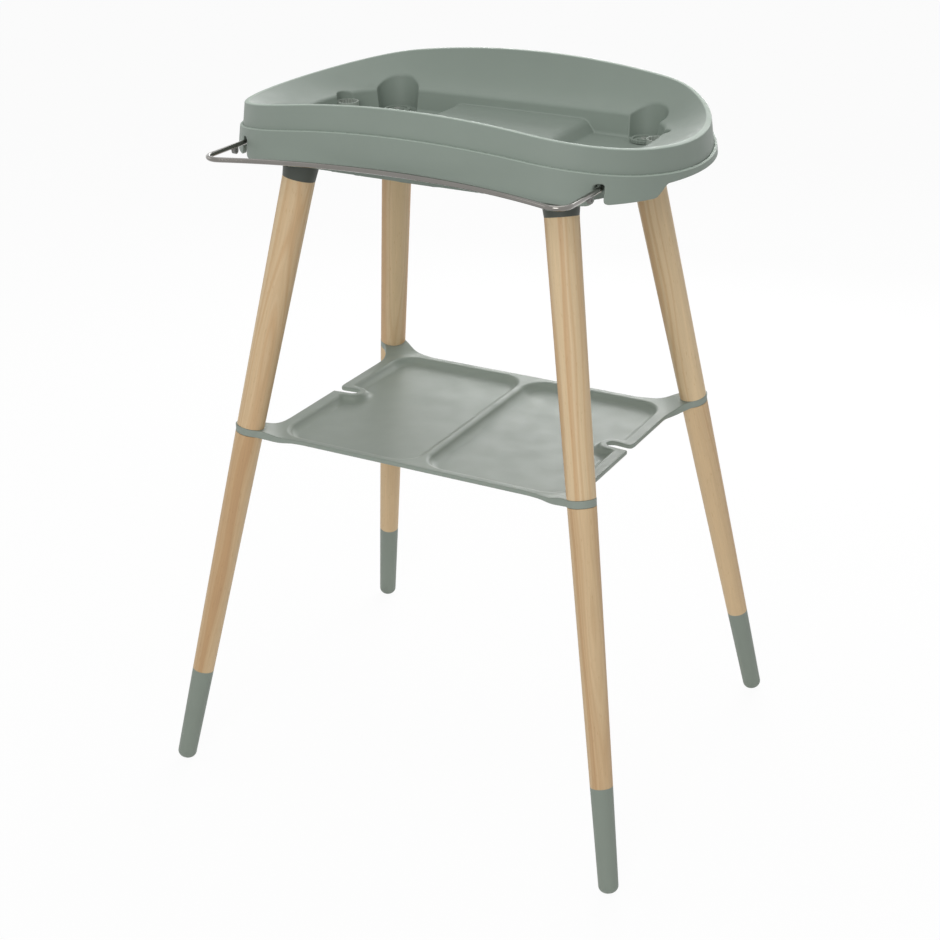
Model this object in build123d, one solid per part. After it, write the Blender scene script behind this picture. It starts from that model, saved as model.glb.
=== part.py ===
"""Baby bath stand: an open moulded cradle on four splayed wooden legs, with a storage shelf between them.

Lengths are in millimetres. +Z is up, X runs along the cradle, the front of the object faces -Y.
The origin is on the floor, midway between the four feet.
"""
import math
import os

from build123d import *

# Rim of the cradle: a closed outline of tangent arcs, given at the height of the rim's short ends
RIM_HALF_LENGTH = 290.0
RIM_FRONT = 170.0
RIM_BACK = 179.0
RIM_WIDEST_Y = 4.0
RIM_FRONT_RADIUS = 2400.0
RIM_FRONT_CORNER = 137.0
RIM_SIDE_RADIUS = 203.0
RIM_BACK_CORNER = 80.0
RIM_BACK_RADIUS = 4000.0
RIM_END_Z = 866.0
RIM_ARCH = 37.0
RIM_BACKWARD_RISE = 3.5
RIM_WIDTH = 5.5
RIM_MIDDLE_Z = RIM_END_Z + RIM_ARCH
WALL_DRAFT = 7.4
WALL = 4.0

# Inside of the bowl at the height of the rim's short ends
SLOPE_WALL = 3.5
SLOPE_HALF_LENGTH = RIM_HALF_LENGTH - RIM_WIDTH
SLOPE_FRONT_INSET = 22.0
SLOPE_FRONT = RIM_FRONT - SLOPE_FRONT_INSET
SLOPE_BACK_INSET = 27.0
SLOPE_BACK = RIM_BACK - SLOPE_BACK_INSET
SLOPE_FRONT_CORNER = 112.0
SLOPE_SIDE_RADIUS = 215.0
SLOPE_BACK_CORNER = 85.0

# Inside of the bowl carried on up to a level above the whole rim
MOUTH_RISE = 6.0
MOUTH_Z = RIM_MIDDLE_Z + MOUTH_RISE
MOUTH_SPREAD = 40.0
MOUTH_HALF_LENGTH = RIM_HALF_LENGTH + MOUTH_SPREAD
MOUTH_FRONT = RIM_FRONT - RIM_WIDTH
MOUTH_BACK = RIM_BACK - RIM_WIDTH - RIM_BACKWARD_RISE
MOUTH_FRONT_CORNER = 150.0
MOUTH_SIDE_RADIUS = 235.0
MOUTH_BACK_CORNER = 95.0

# Well of the cradle: the deep middle part of the bowl below the crease
WELL_END_INSET = 62.0
WELL_HALF_LENGTH = RIM_HALF_LENGTH - WELL_END_INSET
WELL_FRONT_INSET = 39.0
WELL_FRONT = RIM_FRONT - WELL_FRONT_INSET
WELL_BACK_INSET = 49.0
WELL_BACK = RIM_BACK - WELL_BACK_INSET
WELL_FRONT_CORNER = 70.0
WELL_SIDE_RADIUS = 260.0
WELL_BACK_CORNER = 80.0
WELL_WALL = 3.0
WELL_TAPER = 5.0
CREASE_DEPTH = 14.0
CREASE_Z = RIM_END_Z - CREASE_DEPTH
FLOOR_DEPTH = 29.0
FLOOR_Z = CREASE_Z - FLOOR_DEPTH
FLOOR_THICKNESS = 3.5
FOOT_RIB = 15.0
WELL_FOOT_Z = FLOOR_Z - FOOT_RIB

# Raised platform that runs front to back over the middle of the floor
HUMP_TOP_HALF_WIDTH = 91.0
HUMP_SPREAD = 13.0
HUMP_RISE = 15.5
HUMP_Z = FLOOR_Z + HUMP_RISE
HUMP_FRONT_INSET = 35.0
HUMP_FRONT = WELL_FRONT - HUMP_FRONT_INSET

# Hand nuts of the legs, and the pockets that give the hand room to turn them
NUT_RADIUS = 17.5
NUT_HEIGHT = 3.5
NUT_WEB = 2.0
NUT_RIM_WIDTH = 4.5
NUT_HUB_RADIUS = 8.0
NUT_SEAT_GAP = 0.3
NUT_BORE_CLEARANCE = 0.05
NUT_GROOVE_RADIUS = 1.2
NUT_GROOVE_COUNT = 24
HAND_ROOM = 6.5
POCKET_RADIUS = NUT_RADIUS + HAND_ROOM
POCKET_TAPER = 4.2
POCKET_SHIFT = 3.0

# Drain openings beside the back pockets, each in a fluted ring
DRAIN_END_INSET = 12.0
DRAIN_X = WELL_HALF_LENGTH - DRAIN_END_INSET
DRAIN_BACK_INSET = 70.0
DRAIN_Y = WELL_BACK - DRAIN_BACK_INSET
DRAIN_BORE_RADIUS = 11.5
DRAIN_RING_WALL = 2.5
DRAIN_RING_RADIUS = DRAIN_BORE_RADIUS + DRAIN_RING_WALL
DRAIN_RING_RISE = 20.0
DRAIN_GROOVE_RADIUS = 1.4
DRAIN_GROOVE_COUNT = 18

# Skirt: the band below the seam line, slightly proud of the bowl
SEAM_MIDDLE_DEPTH = 33.0
SEAM_END_DEPTH = 27.0
SEAM_MIDDLE_Z = RIM_MIDDLE_Z - SEAM_MIDDLE_DEPTH
SEAM_ARCH = RIM_ARCH + SEAM_END_DEPTH - SEAM_MIDDLE_DEPTH
SKIRT_STEP = 3.7
SKIRT_WALL = 6.0
SKIRT_END_DEPTH = 9.5
SKIRT_END_Z = RIM_END_Z - SEAM_END_DEPTH - SKIRT_END_DEPTH
SKIRT_TAB_DEPTH = 13.0
SKIRT_TAB_Z = SKIRT_END_Z - SKIRT_TAB_DEPTH
SKIRT_TAB_END_Y = 68.0
SKIRT_TAB_RUN = 24.0
FRONT_BAND_HEIGHT = 37.0
FRONT_BAND_MIDDLE_Z = SEAM_MIDDLE_Z - FRONT_BAND_HEIGHT
FRONT_BAND_DEPTH = 34.0

# Screws between skirt and bowl
SCREW_X = 118.0
SCREW_INSET = 19.0
SCREW_LUG_RISE = 9.0
SCREW_LUG_Z = FRONT_BAND_MIDDLE_Z + SCREW_LUG_RISE
SCREW_LUG_THICKNESS = 3.0
SCREW_LUG_WIDTH = 16.0
SCREW_BOSS_RADIUS = 5.0
SCREW_RADIUS = 1.9
SCREW_GRIP = 10.0
SCREW_HEAD_RADIUS = 3.6
SCREW_HEAD_HEIGHT = 2.4

# Towel rail: one bent round bar whose arms slide into guides behind notches in the skirt
RAIL_RADIUS = 3.0
RAIL_LEG_OFFSET = 56.3
RAIL_REACH = 64.5
RAIL_CORNER_Y = RIM_FRONT + RAIL_REACH
RAIL_BOW = 46.0
RAIL_RISE = 17.0
RAIL_Z = SKIRT_TAB_Z + RAIL_RISE
RAIL_BEND = 16.0
RAIL_CLEARANCE = 0.05
GUIDE_LENGTH = 30.0
GUIDE_WALL = 3.0
RAIL_TAIL = 6.0
NOTCH_ROOM = 1.9
NOTCH_TOP_ROOM = 3.0
NOTCH_ROUND = 3.5
CATCH_WALL_GAP = 30.8
CATCH_LENGTH = 8.0
CATCH_WIDTH = 4.5
CATCH_DROP = 9.5
CATCH_EYE_RADIUS = 1.6

# Legs: the axis of each runs from a foot point on the floor to a point at the top of the wood
COLLAR_HEIGHT = 18.0
LEG_TOP_Z = WELL_FOOT_Z - COLLAR_HEIGHT
FRONT_LEG_END_INSET = 52.0
FRONT_TOP_X = WELL_HALF_LENGTH - FRONT_LEG_END_INSET
FRONT_LEG_INSET = 14.0
FRONT_TOP_Y = WELL_FRONT - FRONT_LEG_INSET
FRONT_SPREAD_X = 141.0
FRONT_SPREAD_Y = 143.0
BACK_LEG_END_INSET = 50.0
BACK_TOP_X = WELL_HALF_LENGTH - BACK_LEG_END_INSET
BACK_LEG_INSET = 13.0
BACK_TOP_Y = WELL_BACK - BACK_LEG_INSET
BACK_SPREAD_X = 133.0
BACK_SPREAD_Y = 143.0
LEG_TOP_RADIUS = 20.2
LEG_RING_RADIUS = 17.5
LEG_BOOT_RADIUS = 14.0
RING_Z = 471.5
RING_THICKNESS = 10.0
RING_SPREAD_SHARE = 1 - RING_Z / LEG_TOP_Z
RING_X = FRONT_TOP_X + FRONT_SPREAD_X * RING_SPREAD_SHARE
FRONT_RING_Y = FRONT_TOP_Y + FRONT_SPREAD_Y * RING_SPREAD_SHARE
BACK_RING_Y = BACK_TOP_Y + BACK_SPREAD_Y * RING_SPREAD_SHARE

# Moulded boots over the feet
BOOT_TOP_Z = 133.0
BOOT_SOLE = 22.0
BOOT_WALL = 1.8
FOOT_RADIUS = 12.3
FOOT_ROUND = 9.0
FOOT_FLAT = 0.8
TENON_RADIUS = FOOT_RADIUS - BOOT_WALL
PIECE_GAP = 0.1

# Collars and fasteners along the legs
COLLAR_FLARE = 2.3
COLLAR_TOP_RADIUS = LEG_TOP_RADIUS + COLLAR_FLARE
SPIGOT_RADIUS = 8.0
SPIGOT_LENGTH = 30.0
JOINING_STUD_RADIUS = 4.0
JOINING_STUD_LENGTH = 90.0
LEG_STUD_RADIUS = 4.0
LEG_STUD_GRIP = 12.0
LEG_STUD_RISE = 1.0
STUD_TOP_Z = FLOOR_Z + NUT_SEAT_GAP + NUT_HEIGHT + LEG_STUD_RISE

# Shelf tray between the legs
SHELF_END_INSET = 16.85
SHELF_HALF_LENGTH = RING_X - SHELF_END_INSET
SHELF_FRONT_INSET = 6.65
SHELF_FRONT = FRONT_RING_Y - SHELF_FRONT_INSET
SHELF_BACK_INSET = 14.65
SHELF_BACK = BACK_RING_Y - SHELF_BACK_INSET
SHELF_DROP = 6.0
SHELF_TOP_Z = RING_Z - SHELF_DROP
SHELF_EDGE = 5.5
SHELF_FLANGE = 10.0
SHELF_RECESS = 9.0
SHELF_FLOOR = 3.0
SHELF_SLOPE = 7.0
SHELF_BAY_CORNER = 32.0
SHELF_RIB = 8.0
ARM_WIDTH = 32.0
ARM_REACH = 58.0
ARM_FLARE = 26.0
ARM_RAMP = 34.0
HOOK_SLOT_WIDTH = 14.0
HOOK_SLOT_DEPTH = 25.0
HOOK_SLOT_END_Y = 4.0
HOOK_MOUTH_Y = 0.0
HOOK_FLARE = 9.0
HOOK_RIM = 9.0

# Every cut runs past the faces it goes through by at least this much
OVERRUN = 10.0
HIGH_Z = MOUTH_Z + 2 * OVERRUN


def unit(x, y):
    size = math.hypot(x, y)
    return x / size, y / size


def arc_joint(first, first_radius, second, second_radius, outward):
    """Centre of a circle that lies inside two others, on the side that outward points to."""
    dx = second[0] - first[0]
    dy = second[1] - first[1]
    apart = math.hypot(dx, dy)
    along = (first_radius**2 - second_radius**2 + apart**2) / (2 * apart)
    aside = math.sqrt(first_radius**2 - along**2)
    ux, uy = dx / apart, dy / apart
    corners = []
    for side in (1, -1):
        corners.append((first[0] + along * ux - side * aside * uy, first[1] + along * uy + side * aside * ux))
    return max(corners, key=lambda corner: corner[0] * outward[0] + corner[1] * outward[1])


def outline_arcs(half_length, front, back, front_corner, side_radius, back_corner):
    """Eight tangent arcs of a closed outline, each as centre, radius, start angle and end angle."""
    front_centre = (0, RIM_FRONT_RADIUS - front)
    side_centre = (half_length - side_radius, RIM_WIDEST_Y)
    back_centre = (0, back - RIM_BACK_RADIUS)
    near = arc_joint(front_centre, RIM_FRONT_RADIUS - front_corner, side_centre, side_radius - front_corner, (1, -1))
    far = arc_joint(back_centre, RIM_BACK_RADIUS - back_corner, side_centre, side_radius - back_corner, (1, 1))

    def angle(start, end):
        return math.atan2(end[1] - start[1], end[0] - start[0])

    near_front = angle(front_centre, near)
    near_side = angle(side_centre, near)
    far_side = angle(side_centre, far)
    far_back = angle(back_centre, far)
    right = [
        (near, front_corner, near_front, near_side),
        (side_centre, side_radius, near_side, far_side),
        (far, back_corner, far_side, far_back),
    ]
    left = [((-c[0], c[1]), r, math.pi - end, math.pi - start) for c, r, start, end in reversed(right)]
    front_arc = (front_centre, RIM_FRONT_RADIUS, -math.pi - near_front, near_front)
    back_arc = (back_centre, RIM_BACK_RADIUS, far_back, math.pi - far_back)
    return [front_arc] + right + [back_arc] + left


RIM_ARCS = outline_arcs(RIM_HALF_LENGTH, RIM_FRONT, RIM_BACK, RIM_FRONT_CORNER, RIM_SIDE_RADIUS, RIM_BACK_CORNER)
SLOPE_ARCS = outline_arcs(SLOPE_HALF_LENGTH, SLOPE_FRONT, SLOPE_BACK, SLOPE_FRONT_CORNER, SLOPE_SIDE_RADIUS,
                          SLOPE_BACK_CORNER)
MOUTH_ARCS = outline_arcs(MOUTH_HALF_LENGTH, MOUTH_FRONT, MOUTH_BACK, MOUTH_FRONT_CORNER, MOUTH_SIDE_RADIUS,
                          MOUTH_BACK_CORNER)
WELL_ARCS = outline_arcs(WELL_HALF_LENGTH, WELL_FRONT, WELL_BACK, WELL_FRONT_CORNER, WELL_SIDE_RADIUS,
                         WELL_BACK_CORNER)


def front_reach(x):
    """How far in front of the middle the rim's outline lies at x, beside the middle."""
    for (centre_x, centre_y), radius, _, end in RIM_ARCS[:3]:
        if x <= centre_x + radius * math.cos(end):
            break
    return math.sqrt(radius**2 - (x - centre_x) ** 2) - centre_y


# Places of the towel rail that follow from the front legs and from the wall that its arms go through
RAIL_HALF_LENGTH = FRONT_TOP_X + RAIL_LEG_OFFSET
GUIDE_START_Y = front_reach(RAIL_HALF_LENGTH)
RAIL_END_Y = GUIDE_START_Y - GUIDE_LENGTH - RAIL_TAIL
CATCH_Y = GUIDE_START_Y + CATCH_WALL_GAP


def arc_point(arc, share, grow):
    (cx, cy), radius, start, end = arc
    turn = start + (end - start) * share
    return cx + (radius + grow) * math.cos(turn), cy + (radius + grow) * math.sin(turn)


def outline_wire(arcs, grow, z):
    """Flat closed wire of the outline, moved outward by grow, at height z."""
    edges = []
    for arc in arcs:
        points = [Vector(*arc_point(arc, share, grow), z) for share in (0, 0.5, 1)]
        edges.append(Edge.make_three_point_arc(*points))
    return Wire(edges)


def drafted(arcs, grow, low, high, draft):
    """Solid between two heights that narrows upward by the draft angle."""
    return Solid.extrude_taper(Face(outline_wire(arcs, grow, low)), Vector(0, 0, high - low), draft)


def wall_grow(z):
    """How far the drafted outer wall stands outside the rim outline at height z."""
    return (RIM_END_Z - z) * math.tan(math.radians(WALL_DRAFT))


def outer_body(grow, low, high):
    return drafted(RIM_ARCS, wall_grow(low) + grow, low, high, WALL_DRAFT)


def arch_z(x, middle, drop):
    """Height at x of a circular arch that falls by drop from the middle to the rim's short ends."""
    radius = (RIM_HALF_LENGTH**2 + drop**2) / (2 * drop)
    return middle - radius + math.sqrt(radius**2 - x**2)


def under_arch(middle, drop, low, front=-RIM_FRONT - 5 * OVERRUN, back=RIM_BACK + 5 * OVERRUN):
    """Everything below an arched surface that runs front to back."""
    side = RIM_HALF_LENGTH + 4 * OVERRUN
    crown = Edge.make_three_point_arc(
        Vector(-side, front, arch_z(side, middle, drop)),
        Vector(0, front, middle),
        Vector(side, front, arch_z(side, middle, drop)),
    )
    foot = Polyline(crown @ 1, Vector(side, front, low), Vector(-side, front, low), crown @ 0)
    face = Face(Wire([crown] + list(foot.edges())))
    return Solid.extrude(face, Vector(0, back - front, 0))


def under_rim():
    """Everything below the rim, which rises a little toward the back."""
    tilt = math.degrees(math.atan(RIM_BACKWARD_RISE / RIM_BACK))
    body = under_arch(RIM_MIDDLE_Z, RIM_ARCH, WELL_FOOT_Z - 2 * OVERRUN)
    return body.rotate(Axis((0, 0, RIM_MIDDLE_Z), (1, 0, 0)), tilt)


def basin(grow, drop):
    """The space inside the bowl above the crease; grow and drop move it to the underside of the slope."""
    levels = [
        outline_wire(WELL_ARCS, grow, CREASE_Z - drop),
        outline_wire(SLOPE_ARCS, grow, RIM_END_Z - drop),
        outline_wire(MOUTH_ARCS, grow, MOUTH_Z - drop),
    ]
    return Solid.make_loft(levels, ruled=True)


def upright(x, y, low, high, radius):
    return Solid.make_cylinder(radius, high - low, Plane((x, y, low)))


def block(low, high):
    """A box from its lowest to its highest corner."""
    size = [h - l for l, h in zip(low, high)]
    return Solid.make_box(*size, Plane(low))


class Leg:
    """One splayed leg: its axis and the places along it."""

    def __init__(self, name, side, front):
        top_x, spread_x = (FRONT_TOP_X, FRONT_SPREAD_X) if front else (BACK_TOP_X, BACK_SPREAD_X)
        top_y, spread_y = (FRONT_TOP_Y, FRONT_SPREAD_Y) if front else (BACK_TOP_Y, BACK_SPREAD_Y)
        depth = -1 if front else 1
        self.name = name
        self.foot = Vector(side * (top_x + spread_x), depth * (top_y + spread_y), 0)
        self.axis = (Vector(side * top_x, depth * top_y, LEG_TOP_Z) - self.foot).normalized()
        self.cos = self.axis.Z
        self.sin = math.sqrt(1 - self.cos**2)
        self.plane = Plane(origin=self.foot, x_dir=(1, 0, 0), z_dir=self.axis)

    def along(self, z):
        """Distance along the axis at height z."""
        return z / self.cos

    def at(self, z):
        return self.foot + self.axis * self.along(z)

    def taper(self, low, high, low_radius, high_radius):
        return Solid.make_cone(low_radius, high_radius, high - low, self.plane.offset(low))

    def rod(self, low, high, radius):
        return Solid.make_cylinder(radius, high - low, self.plane.offset(low))

    def stud_place(self):
        """The upright stud stands where the leg's axis reaches the collar's top."""
        place = self.at(WELL_FOOT_Z)
        return place.X, place.Y

    def pocket_place(self):
        """The hand's room is set a little outward of the stud."""
        x, y = self.stud_place()
        return x, y + math.copysign(POCKET_SHIFT, y)

    def ring_place(self):
        place = self.at(RING_Z)
        return place.X, place.Y

    def ring_faces(self):
        """Distances along the axis of the shelf ring's lower and upper face."""
        middle = self.along(RING_Z)
        return middle - RING_THICKNESS / 2, middle + RING_THICKNESS / 2


LEGS = [
    Leg("front_left", -1, True),
    Leg("front_right", 1, True),
    Leg("back_right", 1, False),
    Leg("back_left", -1, False),
]
SIDES = {"left": -1, "right": 1}


def screw_places():
    """Places of the skirt's screws in plan, each with the direction of the wall it is near."""
    places = []
    for side in SIDES.values():
        places.append((side * SCREW_X, SCREW_INSET - RIM_FRONT, -1))
        places.append((side * SCREW_X, RIM_BACK - SCREW_INSET, 1))
    return places


def hump(grow):
    """Platform with sloping sides that runs from the back wall toward the front."""
    low = FLOOR_Z - FLOOR_THICKNESS - OVERRUN
    foot = HUMP_TOP_HALF_WIDTH + HUMP_SPREAD * (HUMP_Z - low) / HUMP_RISE + grow
    top = HUMP_TOP_HALF_WIDTH + grow
    y = -HUMP_FRONT - grow
    profile = Polyline(
        (-foot, y, low), (foot, y, low), (top, y, HUMP_Z + grow), (-top, y, HUMP_Z + grow), close=True
    )
    return Solid.extrude(Face(Wire(profile.edges())), Vector(0, HUMP_FRONT + WELL_BACK + OVERRUN, 0))


def well_space():
    """The deep part of the bowl, from the floor to the crease, around the platform."""
    widening = math.degrees(math.atan(WELL_TAPER / FLOOR_DEPTH))
    return drafted(WELL_ARCS, -WELL_TAPER, FLOOR_Z, CREASE_Z, -widening) - hump(0)


def pocket(leg, low, high, grow):
    """Round room for the hand over a leg nut, wider toward the top."""
    slant = POCKET_TAPER / (RIM_END_Z - FLOOR_Z)
    low_radius = POCKET_RADIUS + grow + slant * (low - FLOOR_Z)
    high_radius = POCKET_RADIUS + grow + slant * (high - FLOOR_Z)
    return Solid.make_cone(low_radius, high_radius, high - low, Plane((*leg.pocket_place(), low)))


def around_well():
    """Walls of the well, of the nut pockets and of the drain niches, still solid inside."""
    low = WELL_FOOT_Z - 2 * OVERRUN
    walls = drafted(WELL_ARCS, WELL_WALL, low, CREASE_Z, 0)
    for leg in LEGS:
        walls += pocket(leg, low, RIM_END_Z, WELL_WALL)
    for side in SIDES.values():
        walls += upright(side * DRAIN_X, DRAIN_Y, low, RIM_END_Z, DRAIN_RING_RADIUS + WELL_WALL)
    return walls


def under_floor_space():
    """Hollow under the floor, inside the well's foot rib and around the leg bosses and drains."""
    ceiling = FLOOR_Z - FLOOR_THICKNESS
    space = drafted(WELL_ARCS, 0, WELL_FOOT_Z - OVERRUN, ceiling, 0)
    narrow = drafted(WELL_ARCS, -2 * WELL_TAPER, ceiling - OVERRUN, CREASE_Z, 0)
    space += narrow & hump(-FLOOR_THICKNESS)
    for leg in LEGS:
        space -= upright(*leg.stud_place(), WELL_FOOT_Z - 2 * OVERRUN, CREASE_Z, COLLAR_TOP_RADIUS)
    for side in SIDES.values():
        space -= upright(side * DRAIN_X, DRAIN_Y, WELL_FOOT_Z - 2 * OVERRUN, CREASE_Z, DRAIN_RING_RADIUS)
    return space


def make_bowl():
    """Shell of the cradle: outer wall down to the seam, hollow slope, well, platform and pockets."""
    low = WELL_FOOT_Z - OVERRUN
    bowl = outer_body(0, WELL_FOOT_Z, HIGH_Z) & under_rim()
    cavity = outer_body(-WALL, low, HIGH_Z + OVERRUN) - around_well() - basin(SLOPE_WALL, SLOPE_WALL)
    for x, y, _ in screw_places():
        cavity -= upright(x, y, SCREW_LUG_Z, HIGH_Z, SCREW_BOSS_RADIUS)
    bowl -= cavity
    below_seam = under_arch(SEAM_MIDDLE_Z, SEAM_ARCH, low - OVERRUN)
    bowl -= below_seam - outer_body(-WALL - PIECE_GAP, low - 2 * OVERRUN, HIGH_Z)
    bowl -= basin(0, 0)
    bowl -= well_space()
    bowl -= under_floor_space()
    for leg in LEGS:
        bowl -= pocket(leg, FLOOR_Z, HIGH_Z, 0)
        bowl -= upright(*leg.stud_place(), low, CREASE_Z, LEG_STUD_RADIUS + PIECE_GAP)
    for side in SIDES.values():
        bowl -= upright(side * DRAIN_X, DRAIN_Y, FLOOR_Z, HIGH_Z, DRAIN_RING_RADIUS + PIECE_GAP)
        bowl -= upright(side * DRAIN_X, DRAIN_Y, low, CREASE_Z, DRAIN_BORE_RADIUS)
    for x, y, _ in screw_places():
        bowl -= upright(x, y, SCREW_LUG_Z - OVERRUN, SCREW_LUG_Z + SCREW_GRIP, SCREW_RADIUS + PIECE_GAP)
    return bowl


def make_drain_ring(side):
    """Short collar round a drain opening, fluted inside above a plain foot."""
    x = side * DRAIN_X
    top = FLOOR_Z + DRAIN_RING_RISE
    ring = upright(x, DRAIN_Y, FLOOR_Z, top, DRAIN_RING_RADIUS)
    ring -= upright(x, DRAIN_Y, FLOOR_Z - OVERRUN, top + OVERRUN, DRAIN_BORE_RADIUS)
    for step in range(DRAIN_GROOVE_COUNT):
        turn = 2 * math.pi * step / DRAIN_GROOVE_COUNT
        groove_x = x + DRAIN_BORE_RADIUS * math.cos(turn)
        groove_y = DRAIN_Y + DRAIN_BORE_RADIUS * math.sin(turn)
        ring -= upright(groove_x, groove_y, FLOOR_Z + DRAIN_GROOVE_RADIUS, top + OVERRUN, DRAIN_GROOVE_RADIUS)
    return ring


def skirt_end_cut():
    """Space below the skirt, seen from the side: low at the front tabs, high along the ends and the back."""
    side = RIM_HALF_LENGTH + 5 * OVERRUN
    low = SKIRT_TAB_Z - 3 * OVERRUN
    start_y = -SKIRT_TAB_END_Y - SKIRT_TAB_RUN
    rise = Spline(
        (-side, start_y, SKIRT_TAB_Z),
        (-side, -SKIRT_TAB_END_Y - SKIRT_TAB_RUN / 2, (SKIRT_TAB_Z + SKIRT_END_Z) / 2),
        (-side, -SKIRT_TAB_END_Y, SKIRT_END_Z),
        tangents=[(0, 1, 0), (0, 1, 0)],
    )
    back = RIM_BACK + 5 * OVERRUN
    front = -RIM_FRONT - 5 * OVERRUN
    border = Polyline(
        rise @ 1,
        (-side, back, SKIRT_END_Z),
        (-side, back, low),
        (-side, front, low),
        (-side, front, SKIRT_TAB_Z),
        rise @ 0,
    )
    face = Face(Wire(list(rise.edges()) + list(border.edges())))
    return Solid.extrude(face, Vector(2 * side, 0, 0))


def notch_cut():
    """Opening in the right front corner of the skirt where an arm of the rail comes out."""
    half = RAIL_RADIUS + NOTCH_ROOM
    low = (RAIL_HALF_LENGTH - half, -RIM_FRONT - 3 * OVERRUN, SKIRT_TAB_Z - OVERRUN)
    high = (RAIL_HALF_LENGTH + half, -GUIDE_START_Y, RAIL_Z + RAIL_RADIUS + NOTCH_TOP_ROOM)
    opening = block(low, high)
    return opening.fillet(NOTCH_ROUND, opening.edges().filter_by(Axis.Y).sort_by(Axis.Z)[-2:])


def rail_guide():
    """Block inside the right end of the skirt that an arm of the rail slides through."""
    half = RAIL_RADIUS + GUIDE_WALL
    low = (RAIL_HALF_LENGTH - half, -GUIDE_START_Y, RAIL_Z - half)
    high = (RIM_HALF_LENGTH + OVERRUN, GUIDE_LENGTH - GUIDE_START_Y, RAIL_Z + half)
    return block(low, high) & outer_body(SKIRT_STEP - SKIRT_WALL / 2, SKIRT_TAB_Z - OVERRUN, RIM_END_Z)


def rail_bore(side):
    plane = Plane(origin=(side * RAIL_HALF_LENGTH, -RIM_FRONT, RAIL_Z), z_dir=(0, 1, 0))
    return Solid.make_cylinder(RAIL_RADIUS + RAIL_CLEARANCE, RIM_FRONT, plane)


def screw_lug(x, y, away):
    """Tab on the inside of the skirt, under a screw boss of the bowl."""
    ends = (y - away * SCREW_BOSS_RADIUS, y + away * SCREW_INSET)
    half = SCREW_LUG_WIDTH / 2
    lug = block((x - half, min(ends), SCREW_LUG_Z - SCREW_LUG_THICKNESS), (x + half, max(ends), SCREW_LUG_Z))
    return lug & outer_body(SKIRT_STEP - SKIRT_WALL / 2, SKIRT_TAB_Z, RIM_END_Z)


def make_skirt():
    """Band below the seam, with deep front tabs, rail notches and guides, and lugs for the screws."""
    low = SKIRT_TAB_Z - OVERRUN
    skirt = outer_body(SKIRT_STEP, low, HIGH_Z)
    skirt -= outer_body(SKIRT_STEP - SKIRT_WALL, low - OVERRUN, HIGH_Z + OVERRUN)
    skirt &= under_arch(SEAM_MIDDLE_Z, SEAM_ARCH, low)
    skirt -= skirt_end_cut()
    skirt -= under_arch(FRONT_BAND_MIDDLE_Z, RIM_ARCH, low - OVERRUN, back=FRONT_BAND_DEPTH - RIM_FRONT)
    skirt -= notch_cut()
    skirt -= notch_cut().mirror(Plane.YZ)
    skirt += rail_guide()
    skirt += rail_guide().mirror(Plane.YZ)
    for side in SIDES.values():
        skirt -= rail_bore(side)
    for x, y, away in screw_places():
        skirt += screw_lug(x, y, away)
        skirt -= upright(x, y, SCREW_LUG_Z - OVERRUN, SCREW_LUG_Z + OVERRUN, SCREW_RADIUS + PIECE_GAP)
    return skirt


def make_skirt_screws():
    screws = []
    under = SCREW_LUG_Z - SCREW_LUG_THICKNESS
    for x, y, _ in screw_places():
        head = upright(x, y, under - SCREW_HEAD_HEIGHT, under, SCREW_HEAD_RADIUS)
        screws.append(head + upright(x, y, under, SCREW_LUG_Z + SCREW_GRIP - PIECE_GAP, SCREW_RADIUS))
    return Compound(children=screws)


def make_towel_rail():
    """Front bar, bowed toward the cradle, with an arm at each end."""
    left = Vector(-RAIL_HALF_LENGTH, -RAIL_CORNER_Y, RAIL_Z)
    right = Vector(RAIL_HALF_LENGTH, -RAIL_CORNER_Y, RAIL_Z)
    start = Vector(-RAIL_HALF_LENGTH, -RAIL_END_Y, RAIL_Z)
    path = Wire([
        Edge.make_line(start, left),
        Edge.make_three_point_arc(left, Vector(0, RAIL_BOW - RAIL_CORNER_Y, RAIL_Z), right),
        Edge.make_line(right, Vector(RAIL_HALF_LENGTH, -RAIL_END_Y, RAIL_Z)),
    ])
    path = path.fillet_2d(RAIL_BEND, path.vertices().sort_by(Axis.Y)[:2])
    section = Wire.make_circle(RAIL_RADIUS, Plane(origin=start, z_dir=(0, -1, 0)))
    return Solid.sweep(Face(section), path)


def make_rail_catch(side):
    """Small eyelet under an arm of the rail, just in front of the skirt."""
    half = CATCH_WIDTH / 2
    x = side * RAIL_HALF_LENGTH
    low = RAIL_Z - CATCH_DROP
    catch = block((x - half, -CATCH_Y - CATCH_LENGTH / 2, low), (x + half, CATCH_LENGTH / 2 - CATCH_Y, RAIL_Z))
    catch = catch.fillet(CATCH_LENGTH / 2 - PIECE_GAP, catch.edges().filter_by(Axis.X).sort_by(Axis.Z)[:2])
    eye = Plane(origin=(x - CATCH_WIDTH, -CATCH_Y, low + CATCH_LENGTH / 2), z_dir=(1, 0, 0))
    catch -= Solid.make_cylinder(CATCH_EYE_RADIUS, 2 * CATCH_WIDTH, eye)
    bar = Plane(origin=(x, -CATCH_Y - CATCH_LENGTH, RAIL_Z), z_dir=(0, 1, 0))
    return catch - Solid.make_cylinder(RAIL_RADIUS, 2 * CATCH_LENGTH, bar)


def make_collar(leg):
    """Conical collar from the slanted top of the wood to the level underside of the cradle."""
    top = leg.along(LEG_TOP_Z)
    low_circle = Wire.make_circle(LEG_TOP_RADIUS, leg.plane.offset(top))
    high_circle = Wire.make_circle(COLLAR_TOP_RADIUS, Plane(leg.at(WELL_FOOT_Z)))
    collar = Solid.make_loft([low_circle, high_circle])
    collar += leg.rod(top - SPIGOT_LENGTH, top + COLLAR_HEIGHT / 2, SPIGOT_RADIUS)
    return collar - upright(*leg.stud_place(), WELL_FOOT_Z - LEG_STUD_GRIP, CREASE_Z, LEG_STUD_RADIUS)


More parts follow.
